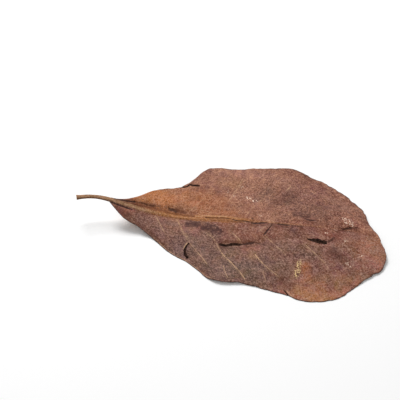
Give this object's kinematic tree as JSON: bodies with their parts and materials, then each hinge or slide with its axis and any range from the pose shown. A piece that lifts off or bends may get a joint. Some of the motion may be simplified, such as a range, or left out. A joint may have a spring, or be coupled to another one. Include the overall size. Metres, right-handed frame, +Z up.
{
  "type": "indian almond leaf",
  "caption": "Dried broad leaf with a long midrib, side veins, a wavy torn margin and a short stalk, lying face up.",
  "frame": {"origin": "centre of the bounding box's lower face, on the table that the leaf lies on", "axes": "+X along the midrib from the stalk to the tip, +Y towards the back margin, +Z up"},
  "size_m": [0.2292, 0.1222, 0.0217],
  "materials": {
    "leaf": "satin"
  },
  "bodies": {
    "root": {"leaf": "leaf"}
  },
  "joints": []
}
